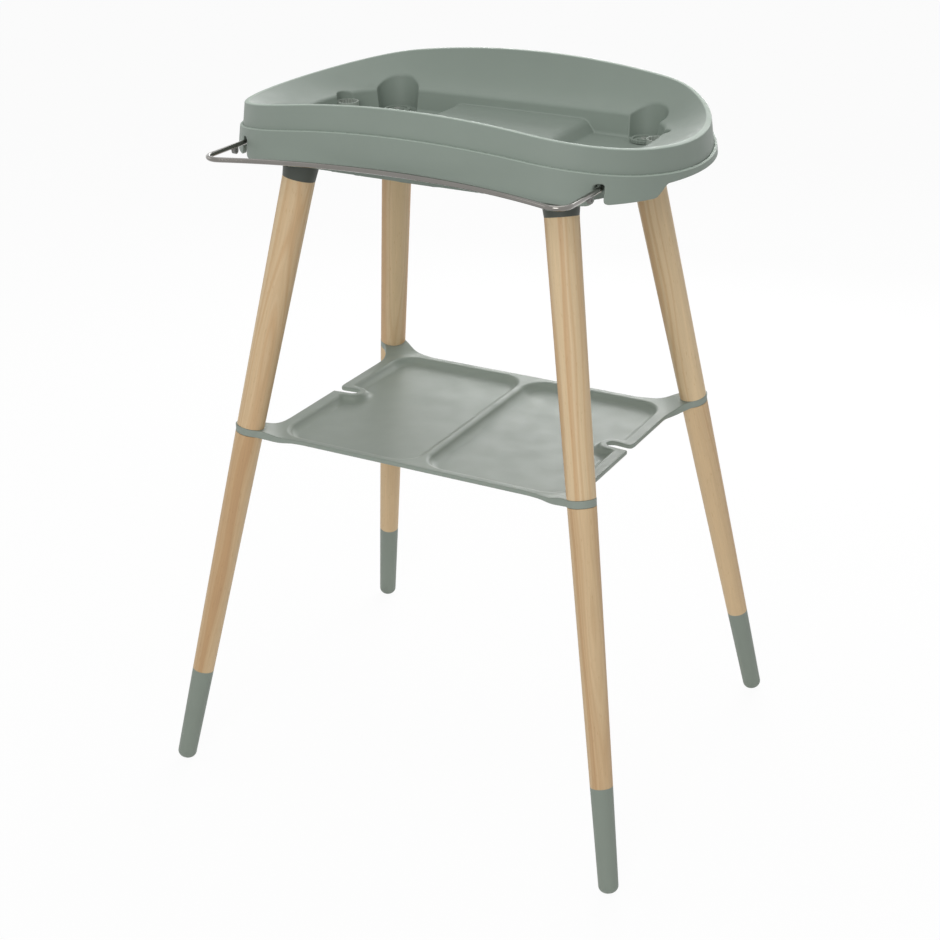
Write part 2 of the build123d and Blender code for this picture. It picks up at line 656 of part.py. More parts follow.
def make_leg_stud(leg):
    return upright(*leg.stud_place(), WELL_FOOT_Z - LEG_STUD_GRIP, STUD_TOP_Z, LEG_STUD_RADIUS)


def make_leg_nut(leg):
    """Round hand nut with a fluted rim and a thin web round its hub."""
    x, y = leg.stud_place()
    seat = FLOOR_Z + NUT_SEAT_GAP
    high = seat + NUT_HEIGHT
    nut = upright(x, y, seat, high, NUT_RADIUS)
    hollow = upright(x, y, seat + NUT_WEB, high + OVERRUN, NUT_RADIUS - NUT_RIM_WIDTH)
    nut -= hollow - upright(x, y, seat, high + 2 * OVERRUN, NUT_HUB_RADIUS)
    nut -= upright(x, y, seat - OVERRUN, high + OVERRUN, LEG_STUD_RADIUS + NUT_BORE_CLEARANCE)
    for step in range(NUT_GROOVE_COUNT):
        turn = 2 * math.pi * step / NUT_GROOVE_COUNT
        groove_x = x + NUT_RADIUS * math.cos(turn)
        groove_y = y + NUT_RADIUS * math.sin(turn)
        nut -= upright(groove_x, groove_y, seat - OVERRUN, high + OVERRUN, NUT_GROOVE_RADIUS)
    return nut


def make_upper_leg(leg):
    low = leg.ring_faces()[1]
    high = leg.along(LEG_TOP_Z)
    wood = leg.taper(low, high, LEG_RING_RADIUS, LEG_TOP_RADIUS)
    wood -= leg.rod(high - SPIGOT_LENGTH, high + OVERRUN, SPIGOT_RADIUS + PIECE_GAP)
    stud_end = leg.along(RING_Z) + JOINING_STUD_LENGTH / 2
    return wood - leg.rod(low - OVERRUN, stud_end, JOINING_STUD_RADIUS + PIECE_GAP)


def make_lower_leg(leg):
    """Lower wood with a thin tenon that fills the boot."""
    boot_top = leg.along(BOOT_TOP_Z)
    high = leg.ring_faces()[0]
    wood = leg.taper(boot_top, high, LEG_BOOT_RADIUS, LEG_RING_RADIUS)
    wood += leg.rod(BOOT_SOLE, boot_top, TENON_RADIUS)
    stud_end = leg.along(RING_Z) - JOINING_STUD_LENGTH / 2
    return wood - leg.rod(stud_end, high + OVERRUN, JOINING_STUD_RADIUS + PIECE_GAP)


def make_joining_stud(leg):
    middle = leg.along(RING_Z)
    return leg.rod(middle - JOINING_STUD_LENGTH / 2, middle + JOINING_STUD_LENGTH / 2, JOINING_STUD_RADIUS)


def make_foot_boot(leg):
    """Closed sleeve over the foot, rounded at the tip and flat where it stands."""
    tip = (FOOT_ROUND - FOOT_FLAT + (FOOT_RADIUS - FOOT_ROUND) * leg.sin) / leg.cos - FOOT_ROUND
    high = leg.along(BOOT_TOP_Z)
    boot = leg.taper(tip, high, FOOT_RADIUS, LEG_BOOT_RADIUS)
    boot = boot.fillet(FOOT_ROUND, [boot.edges().filter_by(GeomType.CIRCLE).sort_by(Axis.Z)[0]])
    boot -= leg.rod(BOOT_SOLE, high + OVERRUN, TENON_RADIUS + PIECE_GAP)
    near = leg.foot - Vector(2 * FOOT_RADIUS, 2 * FOOT_RADIUS, 2 * OVERRUN)
    far = leg.foot + Vector(2 * FOOT_RADIUS, 2 * FOOT_RADIUS, 0)
    return boot - block(tuple(near), tuple(far))


def shelf_plate():
    plate = Rectangle(2 * SHELF_HALF_LENGTH, SHELF_FRONT + SHELF_BACK)
    return Pos(0, (SHELF_BACK - SHELF_FRONT) / 2) * plate


def shelf_outline():
    """Tray with an arm to each ring, and hollow curves where the arms leave it."""
    outline = shelf_plate()
    for leg in LEGS:
        x, y = leg.ring_place()
        ux, uy = unit(-x, -y)
        turn = math.degrees(math.atan2(uy, ux))
        arm = Pos(x + ux * ARM_REACH / 2, y + uy * ARM_REACH / 2) * Rot(0, 0, turn) * Rectangle(ARM_REACH, ARM_WIDTH)
        outline += arm
        outline += Pos(x, y) * Circle(LEG_RING_RADIUS)
    opened = offset(outline, amount=ARM_FLARE, kind=Kind.ARC)
    return offset(opened, amount=-ARM_FLARE, kind=Kind.ARC)


def arm_band(leg):
    """Slab that climbs from the tray's edge to the tilted ring, wider than the arm it is cut to."""
    x, y = leg.ring_place()
    ux, uy = unit(-x, -y)
    lean = (leg.axis.X * ux + leg.axis.Y * uy) / leg.cos
    rise = RING_THICKNESS / 2 / leg.cos
    low = SHELF_TOP_Z - SHELF_EDGE
    wide = 2 * ARM_WIDTH

    def place(run, z):
        return Vector(x + ux * run + uy * wide, y + uy * run - ux * wide, z)

    def ring_place(run, above):
        return place(run, RING_Z + above - lean * run)

    start = -2 * LEG_RING_RADIUS
    foot = LEG_RING_RADIUS + ARM_RAMP
    end = 2 * ARM_REACH
    points = [
        ring_place(start, -rise),
        ring_place(LEG_RING_RADIUS, -rise),
        place(foot, low),
        place(end, low),
        place(end, SHELF_TOP_Z),
        place(foot, SHELF_TOP_Z),
        ring_place(LEG_RING_RADIUS, rise),
        ring_place(start, rise),
    ]
    face = Face(Wire(Polyline(*points, close=True).edges()))
    return Solid.extrude(face, Vector(-2 * uy * wide, 2 * ux * wide, 0))


def slot_outline(grow):
    """Hook slot that opens through the tray's right edge."""
    end_x = SHELF_HALF_LENGTH - HOOK_SLOT_DEPTH
    mouth_x = SHELF_HALF_LENGTH + HOOK_SLOT_WIDTH
    length = math.hypot(mouth_x - end_x, HOOK_MOUTH_Y - HOOK_SLOT_END_Y)
    turn = math.degrees(math.atan2(HOOK_MOUTH_Y - HOOK_SLOT_END_Y, mouth_x - end_x))
    slot = SlotCenterToCenter(length, HOOK_SLOT_WIDTH + 2 * grow)
    return Pos((end_x + mouth_x) / 2, (HOOK_SLOT_END_Y + HOOK_MOUTH_Y) / 2) * Rot(0, 0, turn) * slot


def flare_outline():
    """Rounds off the rear lip of the right slot's mouth."""
    y = HOOK_MOUTH_Y + HOOK_SLOT_WIDTH / 2
    corner = Pos(SHELF_HALF_LENGTH, y + HOOK_FLARE / 2) * Rectangle(2 * HOOK_FLARE, HOOK_FLARE)
    return corner - Pos(SHELF_HALF_LENGTH - HOOK_FLARE, y + HOOK_FLARE) * Circle(HOOK_FLARE)


def bay_outline(grow):
    """Right compartment of the tray, with a rim left round the hook slot."""
    inner = SHELF_RIB / 2
    outer = SHELF_HALF_LENGTH - SHELF_FLANGE
    width = outer - inner + 2 * grow
    depth = SHELF_FRONT + SHELF_BACK - 2 * SHELF_FLANGE + 2 * grow
    bay = RectangleRounded(width, depth, SHELF_BAY_CORNER + grow)
    bay = Pos((inner + outer) / 2, (SHELF_BACK - SHELF_FRONT) / 2) * bay
    return bay - slot_outline(HOOK_RIM - grow)


def raised(sketch, low, high):
    return extrude(Pos(0, 0, low) * sketch, amount=high - low)


def bay_body(grow, low, high):
    """Right compartment between two heights, wider at the top than at its floor."""
    lean = SHELF_SLOPE / SHELF_RECESS
    wires = []
    for z in (low, high):
        outline = Pos(0, 0, z) * bay_outline(grow - lean * (SHELF_TOP_Z - z))
        wires.append(outline.faces()[0].outer_wire())
    return Solid.make_loft(wires, ruled=True)


def make_shelf_tray():
    """Tray with two compartments, a rib between them, hook slots, and four arms that end in rings."""
    low = SHELF_TOP_Z - SHELF_EDGE
    under = SHELF_TOP_Z - SHELF_RECESS - SHELF_FLOOR
    shelf = raised(shelf_plate(), low, SHELF_TOP_Z)
    arms = raised(shelf_outline(), low - OVERRUN, RING_Z + 2 * OVERRUN)
    for leg in LEGS:
        reach = upright(*leg.ring_place(), low - 2 * OVERRUN, RING_Z + 3 * OVERRUN, ARM_REACH + ARM_FLARE)
        shelf += arms & reach & arm_band(leg)
    for leg in LEGS:
        ring_low, ring_high = leg.ring_faces()
        shelf -= leg.rod(ring_high, ring_high + 2 * ARM_WIDTH, LEG_TOP_RADIUS)
        shelf -= leg.rod(ring_low - 2 * ARM_WIDTH, ring_low, LEG_TOP_RADIUS)
        shelf += leg.rod(ring_low, ring_high, LEG_RING_RADIUS)
        shelf -= leg.rod(ring_low - OVERRUN, ring_high + OVERRUN, JOINING_STUD_RADIUS + PIECE_GAP)
    pan = bay_body(SHELF_FLOOR, under, SHELF_TOP_Z - SHELF_EDGE / 2)
    room = bay_body(0, SHELF_TOP_Z - SHELF_RECESS, SHELF_TOP_Z)
    slot = raised(slot_outline(0), under - OVERRUN, SHELF_TOP_Z + OVERRUN)
    slot += raised(flare_outline(), under - OVERRUN, SHELF_TOP_Z + OVERRUN)
    shelf += pan
    shelf += pan.mirror(Plane.YZ)
    for cut in (room, slot):
        shelf -= cut
        shelf -= cut.mirror(Plane.YZ)
    return shelf


def make_all():
    """Every node of the object, by name."""
    nodes = {
        "bowl": make_bowl(),
        "skirt": make_skirt(),
        "skirt_screws": make_skirt_screws(),
        "towel_rail": make_towel_rail(),
        "shelf_tray": make_shelf_tray(),
    }
    for word, side in SIDES.items():
        nodes["rail_catch_" + word] = make_rail_catch(side)
        nodes["drain_ring_" + word] = make_drain_ring(side)
    for leg in LEGS:
        nodes["leg_collar_" + leg.name] = make_collar(leg)
        nodes["leg_stud_" + leg.name] = make_leg_stud(leg)
        nodes["leg_nut_" + leg.name] = make_leg_nut(leg)
        nodes["upper_leg_" + leg.name] = make_upper_leg(leg)
        nodes["joining_stud_" + leg.name] = make_joining_stud(leg)
        nodes["lower_leg_" + leg.name] = make_lower_leg(leg)
        nodes["foot_boot_" + leg.name] = make_foot_boot(leg)
    return nodes


if __name__ == "__main__":
    os.makedirs("parts", exist_ok=True)
    for name, solid in make_all().items():
        export_step(solid, "parts/" + name + ".step")
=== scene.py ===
"""Dresses the baby bath stand: smooth moulded cradle, skirt and shelf, beech legs and a steel towel rail.

Sizes are in millimetres and become metres where a mesh is made. The frame is the part's own: X runs along the
cradle, the front faces -Y and the floor is z = 0. A name that ends in ROUND is the width over which two surfaces
blend into each other.
"""
import math

import bpy
import numpy as np
from mathutils import Euler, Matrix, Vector


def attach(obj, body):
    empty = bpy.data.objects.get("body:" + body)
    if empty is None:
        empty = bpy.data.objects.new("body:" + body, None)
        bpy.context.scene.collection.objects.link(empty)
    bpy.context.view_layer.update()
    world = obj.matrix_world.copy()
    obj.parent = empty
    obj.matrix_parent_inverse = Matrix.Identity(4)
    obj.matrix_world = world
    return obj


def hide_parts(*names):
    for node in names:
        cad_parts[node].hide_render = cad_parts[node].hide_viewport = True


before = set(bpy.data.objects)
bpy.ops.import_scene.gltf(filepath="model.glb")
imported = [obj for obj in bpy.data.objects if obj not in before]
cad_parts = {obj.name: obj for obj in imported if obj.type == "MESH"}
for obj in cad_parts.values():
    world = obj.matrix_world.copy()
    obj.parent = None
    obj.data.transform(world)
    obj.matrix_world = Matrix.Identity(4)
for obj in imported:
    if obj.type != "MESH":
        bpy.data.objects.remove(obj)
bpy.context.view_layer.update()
MM = 0.001

# Camera of the photograph, in metres and radians, with lengths in its picture in pixels and the sensor in mm
CAMERA_PLACE = (0.978145, -1.780071, 1.339785)
CAMERA_YAW = 0.47166
CAMERA_PITCH = 0.43756
PHOTO_SIZE_PX = 940
FOCAL_PX = 1701.4
CENTRE_X_PX = 525.08
SENSOR_WIDTH = 36.0

# Rim of the cradle: tangent arcs at the height of its short ends, drafted walls and an arched top
RIM = {"half": 290.0, "front": 170.0, "back": 179.0, "near": 137.0, "side": 203.0, "far": 80.0}
WELL = {"half": 228.0, "front": 131.0, "back": 130.0, "near": 70.0, "side": 260.0, "far": 80.0}
WIDEST_Y = 4.0
FRONT_RADIUS = 2400.0
BACK_RADIUS = 4000.0
RIM_END_Z = 866.0
RIM_ARCH = 37.0
RIM_TILT = 3.5 / 179.0
RIM_WIDTH = 5.5
DRAFT = math.radians(7.4)
WALL = 4.0
SHELL = 3.5
CREASE_Z = 852.0
FLOOR_Z = 823.0
FOOT_Z = 808.0
WELL_TAPER = 5.0 / (CREASE_Z - FLOOR_Z)
SLOPE_START = 0.15
SLOPE_REACH = 1.3
RIM_ROUND = 1.2
CREASE_ROUND = 4.0
WELL_FOOT_ROUND = 4.0

# Platform, nut pockets and drains in the well
HUMP_HALF_WIDTH = 91.0
HUMP_SPREAD = 13.0
HUMP_RISE = 15.5
HUMP_FRONT = 96.0
HUMP_FRONT_ROUND = 9.0
HUMP_TOP_ROUND = 6.0
HUMP_FOOT_ROUND = 2.0
POCKET_RADIUS = 24.0
POCKET_TAPER = 4.2 / (RIM_END_Z - FLOOR_Z)
POCKET_SHIFT = 3.0
POCKET_FOOT_ROUND = 1.5
POCKET_LIP_ROUND = 1.8
BOSS_RADIUS = 22.5
STUD_RADIUS = 4.1
DRAIN = (216.0, 60.0)
NICHE_RADIUS = 14.1
NICHE_FOOT_ROUND = 1.0
NICHE_LIP_ROUND = 1.5
DRAIN_RADIUS = 11.5

# Skirt below the seam, with the notches and guides of the towel rail
SEAM_MIDDLE_Z = 870.0
SEAM_ARCH = 31.0
SKIRT_STEP = 3.7
SKIRT_WALL = 6.0
SKIRT_END_Z = 829.5
SKIRT_FOOT_ROUND = 1.8
TAB_Z = 816.5
TAB_END_Y = -92.0
TAB_RUN = 24.0
FRONT_BAND_Z = 833.0
FRONT_BAND_ROUND = 5.0
NOTCH_X = (227.4, 237.2)
NOTCH_TOP_Z = 839.5
NOTCH_CORNER = 3.5
NOTCH_LIP_ROUND = 6.0
GUIDE_X = 226.3
GUIDE_Y = (-133.6, -103.6)
GUIDE_Z = (827.5, 839.5)
GUIDE_CORNER = 1.5
RAIL_X = 232.3
RAIL_Z = 833.5
RAIL_BORE = 3.05
SEAM_LIP = 1.5
SEAM_GAP = 0.05
SEAM_ROUND = 1.2

# Legs: where each axis meets the floor and the top of the wood, and the shelf's ring round it
LEG_TOP_Z = 790.0
STUD_Z = 808.0
RING_Z = 471.5
RING_RADIUS = 17.5
RING_THICKNESS = 10.0
RING_ROUND = 1.5
WOOD_ROOM = 2.7
LEGS = {
    "front_left": ((-317.0, -260.0), (-176.0, -117.0)),
    "front_right": ((317.0, -260.0), (176.0, -117.0)),
    "back_right": ((311.0, 260.0), (178.0, 117.0)),
    "back_left": ((-311.0, 260.0), (-178.0, 117.0)),
}

# Shelf between the legs
SHELF_X = 216.0
SHELF_Y = (-168.0, 160.0)
SHELF_TOP_Z = 465.5
SHELF_EDGE = 5.5
SHELF_EDGE_ROUND = 1.4
SHELF_FACE_ROUND = 1.0
SHELF_CORNER = 3.0
SHELF_FLANGE = 10.0
SHELF_END_FLANGE = 15.0
SHELF_RECESS = 9.0
SHELF_FLOOR = 3.0
SHELF_SLOPE = 7.0
BAY_CORNER = 32.0
BAY_FLOOR_ROUND = 5.0
BAY_EDGE_ROUND = 2.5
PAN_DROP = 2.0
SHELF_RIB = 8.0
ARM_HALF_WIDTH = 16.0
ARM_REACH = 58.0
ARM_FLARE = 28.0
ARM_RAMP = 34.0
ARM_CORNER = 1.0
ARM_CUT_ROUND = 1.0
SLOT_RADIUS = 7.0
SLOT_END = (191.0, 4.0)
SLOT_MOUTH = (230.0, 0.0)
SLOT_RIM = 9.0
SLOT_RIM_ROUND = 6.0
SLOT_FLARE = 9.0
SLOT_LIP_OVERLAP = 1.0
SLOT_LIP_ROUND = 3.0
SLOT_EDGE_ROUND = 1.8

# How the moulded pieces are meshed: the box, the size of a cell and the share of the faces kept
BOWL_MESH = {"low": (-301, -185, 805), "high": (301, 193, 908), "step": 1.4, "keep": 0.45}
SKIRT_MESH = {"low": (-306, -190, 812), "high": (306, 198, 873), "step": 1.2, "keep": 0.5}
SHELF_MESH = {"low": (-256, -198, 450), "high": (256, 198, 482), "step": 1.2, "keep": 0.45}
SLOPE_STEP = 0.05
LEAST_SQUARED_SLOPE = 0.05
TINY = 1e-9

# Colours, linear
SAGE = (0.225, 0.268, 0.232)
# the shelf's sage is the bowl's plastic painted paler and more neutral, as painted light and sheen on the shelf
SHELF_SAGE_WITH_PAINTED_LIGHT = (0.252, 0.290, 0.252)
BOOT_SAGE = (0.215, 0.250, 0.212)
COLLAR_GREEN = (0.056, 0.064, 0.053)
NUT_GREEN = (0.22, 0.26, 0.225)
RING_GREEN = (0.35, 0.39, 0.35)
CATCH_GREY = (0.18, 0.18, 0.17)
STEEL = (0.62, 0.62, 0.60)
RAIL_STEEL = (0.19, 0.18, 0.165)
BEECH_PALE = (0.70, 0.53, 0.32)
BEECH_TAN = (0.56, 0.36, 0.185)
BEECH_WARM = (0.65, 0.47, 0.27)
BEECH_DEEP = (0.49, 0.305, 0.15)
WHITE = (1, 1, 1, 1)

# Noises are (scale, detail, roughness), spreads are added to a roughness, bumps are (strength, distance in metres)
NOISE_LOW = 0.3
NOISE_HIGH = 0.7

# Plastic, with a painted highlight: a paler line along the arched top edge, from the start depth to the end depth
# in mm below it
CLOUD_NOISE = (9.0, 3.0, 0.5)
CLOUD_TINTS = (0.975, 1.025)
SMEAR_NOISE = (40.0, 4.0, 0.5)
SMEAR_SPREAD = (-0.04, 0.05)
SPARK_NOISE = (1500.0, 2.0, 0.5)
SPARK_BUMP = (0.12, 0.0003)
PLASTIC_IOR = 1.46
PAINTED_HIGHLIGHT_START = 0.35
PAINTED_HIGHLIGHT_END = 0.9
PAINTED_HIGHLIGHT_PALENESS = 1.6

# Wood: a grain is a stretch along the leg and a noise, the pith's distance and the rings' sway are in metres, and
# the seeds are the first leg's and the step to the next leg's
PITH_AWAY = 0.07
PITH_TURN = 7
RING_SWAY = 0.05
RING_NOISE = (42.0, 4.0, 0.6)
RING_STOPS = (0.33, 0.5, 0.64)
RING_MIDDLE_TINT = 0.93
SWAY_GRAIN = (9.0, 16.0, 2.0, 0.5)
FIBRE_GRAIN = (45.0, 900.0, 3.0, 0.6)
FIBRE_TINTS = (0.93, 1.04)
FIBRE_BUMP = (0.15, 0.0004)
FLECK_GRAIN = (6.0, 700.0, 1.0, 0.5)
FLECK_STOPS = (0.66, 0.76)
FLECK_TINT = (0.90, 0.85, 0.79)
WOOD_ROUGHNESS = (0.46, 0.6)
UPPER_SEEDS = (0, 0.37)
LOWER_SEEDS = (5, 0.41)

# Steel
STEEL_CLOUD_NOISE = (30.0, 3.0, 0.5)
STEEL_CLOUD_TINT = 0.93
BRUSH_NOISE = (1400.0, 3.0, 0.6)
BRUSH_SPREAD = (-0.06, 0.08)
BRUSH_BUMP = (0.12, 0.0002)
ZINC_ROUGHNESS = 0.35
COAT_ROUGHNESS = 0.12

# Studio: each lamp's place, aim and size in metres and its power in watts
FILL_STRENGTH = 0.41
FLOOR_GLOW_SHARE = 0.94
FLOOR_HALF = 12.0
FLOOR_COLOUR = (0.86, 0.86, 0.86, 1)
FLOOR_ROUGHNESS = 0.9
LAMPS = {
    "key": ((0.8, -2.9, 2.1), (0, 0, 0.6), (1.6, 1.6), 44),
    "left": ((-2.6, -0.8, 1.8), (0, 0, 0.6), (1.4, 1.4), 5),
    "top": ((0.0, 0.3, 3.0), (0, 0, 0.5), (2.0, 2.0), 14),
    "sheen": ((-0.3, 2.4, 1.9), (0, 0, 0.85), (2.4, 1.0), 19),
    "under": ((-0.4, 1.9, 0.95), (0, 0, 0.46), (1.4, 0.5), 15),
}


def arch_radius(drop):
    """Radius of an arch that falls by drop from the middle to the rim's short ends."""
    return (RIM["half"] ** 2 + drop**2) / (2 * drop)


def arch_z(x, middle, drop):
    """Height of that arch, where middle is its height at x = 0."""
    radius = arch_radius(drop)
    return middle - radius + np.sqrt(radius**2 - x**2)


def rim_z(x, y):
    """Height of the bowl's arched and tilted top edge."""
    return arch_z(x, RIM_END_Z + RIM_ARCH, RIM_ARCH) + y * RIM_TILT


def corner_centre(first, first_radius, second, second_radius, side):
    """Centre of a circle that touches two others from inside; side picks the front or the back one."""
    dx, dy = second[0] - first[0], second[1] - first[1]
    apart = math.hypot(dx, dy)
    along = (first_radius**2 - second_radius**2 + apart**2) / (2 * apart)
    aside = math.sqrt(first_radius**2 - along**2) * side
    return first[0] + (along * dx + aside * dy) / apart, first[1] + (along * dy - aside * dx) / apart


def outline(size):
    """Right half of a closed outline as arcs: centre x, centre y, radius, start angle, end angle."""
    front = (0.0, FRONT_RADIUS - size["front"])
    side = (size["half"] - size["side"], WIDEST_Y)
    back = (0.0, size["back"] - BACK_RADIUS)
    near = corner_centre(front, FRONT_RADIUS - size["near"], side, size["side"] - size["near"], -1)
    far = corner_centre(back, BACK_RADIUS - size["far"], side, size["side"] - size["far"], 1)

    def angle(start, end):
        return math.atan2(end[1] - start[1], end[0] - start[0])

    joins = [angle(front, near), angle(side, near), angle(side, far), angle(back, far)]
    turns = [-math.pi / 2, *joins, math.pi / 2]
    centres = [front, near, side, far, back]
    radii = [FRONT_RADIUS, size["near"], size["side"], size["far"], BACK_RADIUS]
    return [(c[0], c[1], r, a, b) for c, r, a, b in zip(centres, radii, turns, turns[1:])]


RIM_ARCS = outline(RIM)
WELL_ARCS = outline(WELL)


def outline_distance(arcs, x, y):
    """Distance outside the outline in plan, negative inside."""
    x = np.abs(x)
    best = np.full(np.broadcast(x, y).shape, np.inf)
    for cx, cy, radius, start, end in arcs:
        turn = np.arctan2(y - cy, x - cx)
        off = np.hypot(x - cx, y - cy) - radius
        near = (turn >= start) & (turn <= end) & (np.abs(off) < np.abs(best))
        best = np.where(near, off, best)
    return best


def smooth_max(a, b, k):
    """The larger of two fields, with the corner between them rounded over the width k."""
    h = np.maximum(k - np.abs(a - b), 0) / k
    return np.maximum(a, b) + h * h * k / 4


def smooth_min(a, b, k):
    """The smaller of two fields, rounded in the same way."""
    return -smooth_max(-a, -b, k)


def box_distance(x, y, centre, half, corner=0.0, turn=(1.0, 0.0)):
    """Distance outside a rectangle in plan with round corners; turn is the direction of its length."""
    dx, dy = x - centre[0], y - centre[1]
    over_x = np.abs(dx * turn[0] + dy * turn[1]) - half[0] + corner
    over_y = np.abs(dy * turn[0] - dx * turn[1]) - half[1] + corner
    outside = np.hypot(np.maximum(over_x, 0), np.maximum(over_y, 0))
    return outside + np.minimum(np.maximum(over_x, over_y), 0) - corner


def run_distance(x, y, start, end):
    """Distance in plan from a straight line between two points."""
    dx, dy = end[0] - start[0], end[1] - start[1]
    share = np.clip(((x - start[0]) * dx + (y - start[1]) * dy) / (dx * dx + dy * dy), 0, 1)
    return np.hypot(x - start[0] - share * dx, y - start[1] - share * dy)


def ease(share):
    """Smooth step from 0 to 1."""
    share = np.clip(share, 0, 1)
    return share * share * (3 - 2 * share)


def wall_grow(z):
    """How far the drafted outer wall stands outside the rim's outline at height z."""
    return (RIM_END_Z - z) * math.tan(DRAFT)


def seam_z(x):
    """Height of the seam between bowl and skirt."""
    return arch_z(x, SEAM_MIDDLE_Z, SEAM_ARCH)


def leg_place(name, z):
    """Where a leg's axis is at height z."""
    (foot_x, foot_y), (top_x, top_y) = LEGS[name]
    share = z / LEG_TOP_Z
    return foot_x + (top_x - foot_x) * share, foot_y + (top_y - foot_y) * share


def leg_axis(name):
    """Direction of a leg from its foot to its top."""
    (foot_x, foot_y), (top_x, top_y) = LEGS[name]
    return Vector((top_x - foot_x, top_y - foot_y, LEG_TOP_Z)).normalized()


def platform(x, y, z):
    """Field of the raised platform, negative inside it."""
    top = FLOOR_Z + HUMP_RISE
    lean = HUMP_SPREAD / HUMP_RISE
    flank = (np.abs(x) - HUMP_HALF_WIDTH - lean * (top - z)) / math.hypot(1, lean)
    return smooth_max(smooth_max(flank, -y - HUMP_FRONT, HUMP_FRONT_ROUND), z - top, HUMP_TOP_ROUND)


def bowl_room(x, y, z):
    """Field of the space inside the bowl: negative in the open, about the distance into the plastic."""
    top = rim_z(x, y)
    well = outline_distance(WELL_ARCS, x, y)
    rim = wall_grow(top) - RIM_WIDTH - outline_distance(RIM_ARCS, x, y)
    share = np.clip(well / (well + rim), 0, SLOPE_REACH)
    slope = CREASE_Z + (top - CREASE_Z) * (SLOPE_START * share + (1 - SLOPE_START) * share**2)
    steep = (top - CREASE_Z) * (SLOPE_START + 2 * (1 - SLOPE_START) * share) / (well + rim)
    above = (slope - z) / np.hypot(1, steep)
    deep = smooth_max(well + WELL_TAPER * (CREASE_Z - z), FLOOR_Z - z, WELL_FOOT_ROUND)
    room = smooth_min(above, smooth_max(deep, -platform(x, y, z), HUMP_FOOT_ROUND), CREASE_ROUND)
    for name in LEGS:
        px, py = leg_place(name, STUD_Z)
        away = np.hypot(x - px, y - py - math.copysign(POCKET_SHIFT, py))
        scoop = away - POCKET_RADIUS - POCKET_TAPER * (z - FLOOR_Z)
        room = smooth_min(room, smooth_max(scoop, FLOOR_Z - z, POCKET_FOOT_ROUND), POCKET_LIP_ROUND)
    away = np.hypot(np.abs(x) - DRAIN[0], y - DRAIN[1])
    niche = smooth_max(away - NICHE_RADIUS, FLOOR_Z - z, NICHE_FOOT_ROUND)
    room = smooth_min(room, niche, NICHE_LIP_ROUND)
    return np.minimum(room, away - DRAIN_RADIUS)


def bowl_field(x, y, z):
    """The bowl's shell: rim, outer wall down to the seam, slope, well, bosses and foot rib."""
    room = bowl_room(x, y, z)
    rim = (outline_distance(RIM_ARCS, x, y) - wall_grow(z)) * math.cos(DRAFT)
    well = outline_distance(WELL_ARCS, x, y)
    body = np.minimum(room - SHELL, np.maximum(-rim - WALL, seam_z(x) - SEAM_LIP - z))
    body = np.minimum(body, np.maximum(np.abs(well - SHELL / 2) - SHELL / 2, z - FLOOR_Z))
    holes = np.full(np.broadcast(x, y).shape, np.inf)
    for name in LEGS:
        px, py = leg_place(name, STUD_Z)
        away = np.hypot(x - px, y - py)
        body = np.minimum(body, np.maximum(away - BOSS_RADIUS, z - FLOOR_Z))
        holes = np.minimum(holes, away - STUD_RADIUS)
    away = np.hypot(np.abs(x) - DRAIN[0], y - DRAIN[1])
    body = np.minimum(body, np.maximum(away - NICHE_RADIUS, z - FLOOR_Z))
    holes = np.minimum(holes, away - DRAIN_RADIUS)
    solid = smooth_max(smooth_max(rim, z - rim_z(x, y), RIM_ROUND), -room, RIM_ROUND)
    solid = np.maximum(solid, np.maximum(body, FOOT_Z - z))
    return np.maximum(solid, -holes)


def skirt_field(x, y, z):
    """The band below the seam, with its tabs, notches and rail guides."""
    rim = (outline_distance(RIM_ARCS, x, y) - wall_grow(z)) * math.cos(DRAFT) - SKIRT_STEP
    low = TAB_Z + (SKIRT_END_Z - TAB_Z) * ease((y - TAB_END_Y) / TAB_RUN) - z
    front = arch_z(x, FRONT_BAND_Z, RIM_ARCH) - z
    low = np.where(y < 0, smooth_max(low, front, FRONT_BAND_ROUND), low)
    side = np.abs(x)
    notch_half = (NOTCH_X[1] - NOTCH_X[0]) / 2
    notch_deep = NOTCH_TOP_Z - TAB_Z
    notch = box_distance(side, z, (NOTCH_X[0] + notch_half, TAB_Z), (notch_half, notch_deep), NOTCH_CORNER)
    notch = np.maximum(notch, y - GUIDE_Y[0])
    edge = smooth_max(low, -notch, NOTCH_LIP_ROUND)
    band = smooth_max(smooth_max(rim, z - seam_z(x), SEAM_ROUND), edge, SKIRT_FOOT_ROUND)
    band = np.maximum(band, -rim - SKIRT_WALL)
    rabbet = np.maximum(rim + SKIRT_STEP - SEAM_GAP, seam_z(x) - SEAM_LIP - SEAM_GAP - z)
    band = np.maximum(band, -rabbet)
    guide_y, guide_z = sum(GUIDE_Y) / 2, sum(GUIDE_Z) / 2
    guide_half = ((GUIDE_Y[1] - GUIDE_Y[0]) / 2, (GUIDE_Z[1] - GUIDE_Z[0]) / 2)
    guide = np.maximum(box_distance(y, z, (guide_y, guide_z), guide_half, GUIDE_CORNER), GUIDE_X - side)
    guide = np.maximum(guide, rim + SKIRT_WALL / 2)
    bore = RAIL_BORE - np.hypot(side - RAIL_X, z - RAIL_Z)
    band = np.minimum(band, guide)
    return np.maximum(band, np.where(y < 0, bore, -np.inf))


def slot_field(side, y):
    """Distance outside the hook slot in plan, with the rounded lip of its mouth."""
    slot = run_distance(side, y, SLOT_END, SLOT_MOUTH) - SLOT_RADIUS
    lip_y = SLOT_MOUTH[1] + SLOT_RADIUS
    corner = np.hypot(side - SHELF_X + SLOT_FLARE, y - lip_y - SLOT_FLARE) - SLOT_FLARE
    flare = np.maximum(SHELF_X - SLOT_FLARE - side, y - lip_y - SLOT_FLARE)
    flare = np.maximum(flare, lip_y - SLOT_LIP_OVERLAP - y)
    return smooth_min(slot, np.maximum(flare, -corner), SLOT_LIP_ROUND)


